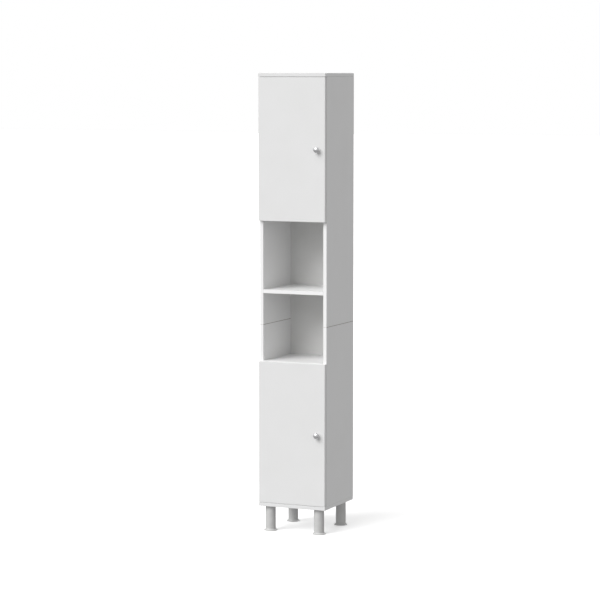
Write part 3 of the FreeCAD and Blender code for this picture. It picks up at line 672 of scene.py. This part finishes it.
# ---------------------------------------------------------------- cam locks
CAM_RADIUS, CAM_DEPTH = 7.45, 12
RECESS_DEPTH = 0.25
SOCKET_RADIUS, SOCKET_DEPTH = 1.0, 1.6
CAM_PROFILE = filleted([(0, -SOCKET_DEPTH, 0), (SOCKET_RADIUS, -SOCKET_DEPTH, 0),
                        (SOCKET_RADIUS, -RECESS_DEPTH, 0), (5.9, -RECESS_DEPTH, 0), (6.1, 0, 0),
                        (7.3, 0, 0.3), (CAM_RADIUS, -0.4, 0), (CAM_RADIUS, -CAM_DEPTH, 0),
                        (0, -CAM_DEPTH, 0)], 3)
CAM_RIB = [(1.3, -0.45), (4.6, -0.3), (4.6, 0.3), (1.3, 0.45)]
RIB_LOW, RIB_TOP = -0.4, -0.02
LYING_HEIGHT = 0.013                    # metres: a cam whose axis is upright is lower than this


def cam_disc(mesh, matrix):
    """A cam lock as seen from its open face, which is at zero, with the body below."""
    lathe(mesh, CAM_PROFILE, 40, matrix)
    for quarter in range(4):
        turn = matrix @ Matrix.Rotation(math.pi / 2 * quarter + math.pi / 4, 4, "Z")
        slab(mesh, CAM_RIB, RIB_LOW, RIB_TOP, turn)


mesh = bmesh.new()
for pair in solids_of("cam_locks"):
    centre = middle_of(pair)
    if pair[1].z - pair[0].z < LYING_HEIGHT:
        cam_disc(mesh, facing((0, 0, -1), Vector((centre.x, centre.y, pair[0].z))))
    else:
        inward = -1 if centre.x > 0 else 1
        face = pair[1].x if inward > 0 else pair[0].x
        cam_disc(mesh, facing((inward, 0, 0), Vector((face, centre.y, centre.z))))
finished(mesh, "cam_lock_discs", "root", ZINC, "cam_locks")

# ---------------------------------------------------------------- bumpers
BUMPER_RADIUS, BUMPER_HEIGHT = 3.9, 0.8
BUMPER_PROFILE = filleted([(0, 0, 0), (BUMPER_RADIUS, 0, 0), (BUMPER_RADIUS, 0.25, 0), (2.8, 0.75, 1),
                           (0, BUMPER_HEIGHT, 0)], 4)
for door in DOORS:
    mesh = bmesh.new()
    for pair in solids_of("bumpers_" + door):
        centre = middle_of(pair)
        lathe(mesh, BUMPER_PROFILE, 32, facing((0, 1, 0), Vector((centre.x, pair[0].y, centre.z))))
    finished(mesh, "bumper_domes_" + door, door + "_door", RUBBER, "bumpers_" + door)

# ---------------------------------------------------------------- hinges
CUP_RADIUS, CUP_DEPTH = 17.5, 11.5
CUP_PROFILE = filleted([(0, -CUP_DEPTH, 0), (16.6, -CUP_DEPTH, 2.5), (17.4, -1, 0), (CUP_RADIUS, 0, 0.3),
                        (16.4, 0, 0.4), (16.2, -1, 0), (15.4, -10.4, 2), (0, -10.4, 0)], 5)
EAR_NEAR, EAR_FAR, EAR_END = 4.0, 15.0, 29.5
EAR_SHOULDER, EAR_ROUND = 9, 3
EAR_LOW, EAR_TOP, EAR_EASE = -1, -0.02, 0.15
RIM_RADIUS, RIM_STEPS = 17, 6           # the ears' inner ends lie under the cup's rim
SIDEWAYS = Matrix(((1, 0, 0, 0), (0, 0, 1, 0), (0, 1, 0, 0), (0, 0, 0, 1)))
for door in DOORS:
    mesh = bmesh.new()
    for pair in solids_of("hinge_cups_" + door):
        centre = Vector((pair[0].x + CUP_RADIUS * MM, pair[1].y, (pair[0].z + pair[1].z) / 2))
        lathe(mesh, CUP_PROFILE, 48, facing((0, 1, 0), centre))
        for way in (1, -1):
            rim = []
            for step in range(RIM_STEPS + 1):
                x = EAR_NEAR + (EAR_FAR - EAR_NEAR) * step / RIM_STEPS
                rim.append((x, way * math.sqrt(RIM_RADIUS ** 2 - x * x)))
            ends = filleted([(EAR_FAR, way * EAR_SHOULDER, 0), (EAR_FAR, way * EAR_END, EAR_ROUND),
                             (EAR_NEAR, way * EAR_END, EAR_ROUND), (EAR_NEAR, way * RIM_RADIUS, 0)], 4)[1:-1]
            outline = rim + [(p.x, p.y) for p in ends]
            slab(mesh, outline, EAR_LOW, EAR_TOP, Matrix.Translation(centre) @ SIDEWAYS, EAR_EASE)
    finished(mesh, "cup_bowls_" + door, door + "_door", NICKEL, "hinge_cups_" + door)

METAL_SHORTEST = 0.0015                 # metres: shorter edges stay sharp
for node, width in (("hinge_plates", 0.3), ("hinge_arms", 0.2), ("hinge_links_lower", 0.2),
                    ("hinge_links_upper", 0.2), ("wall_brackets", 0.25)):
    softened(node, ZINC if node == "wall_brackets" else NICKEL, width, METAL_SHORTEST)

# ---------------------------------------------------------------- nodes that keep their own mesh
for node, material in (("dowels", BEECH), ("cam_bolts", ZINC), ("leg_studs", ZINC)):
    item = frame["nodes"][node]
    item.data.materials.clear()
    item.data.materials.append(material)

# ---------------------------------------------------------------- floor
FLOOR_HALF = 60
FLOOR_LIGHT = 0.35                      # keeps the floor as pale as the backdrop
look = Recipe("pale_floor", (0.95, 0.95, 0.95), 0.9)
look.tinted((0.93, 0.93, 0.93), look.ranged(look.noise(1.5, 3), *EVEN, 0, 1))
look.shader.inputs["Specular IOR Level"].default_value = 0.1
look.shader.inputs["Emission Color"].default_value = WHITE
look.shader.inputs["Emission Strength"].default_value = FLOOR_LIGHT
mesh = bmesh.new()
bmesh.ops.create_grid(mesh, x_segments=4, y_segments=4, size=FLOOR_HALF)
data = bpy.data.meshes.new("floor")
mesh.to_mesh(data)
mesh.free()
data.materials.append(look.material)
floor = bpy.data.objects.new("floor", data)
scene.collection.objects.link(floor)
floor.visible_diffuse = False
floor.visible_glossy = False
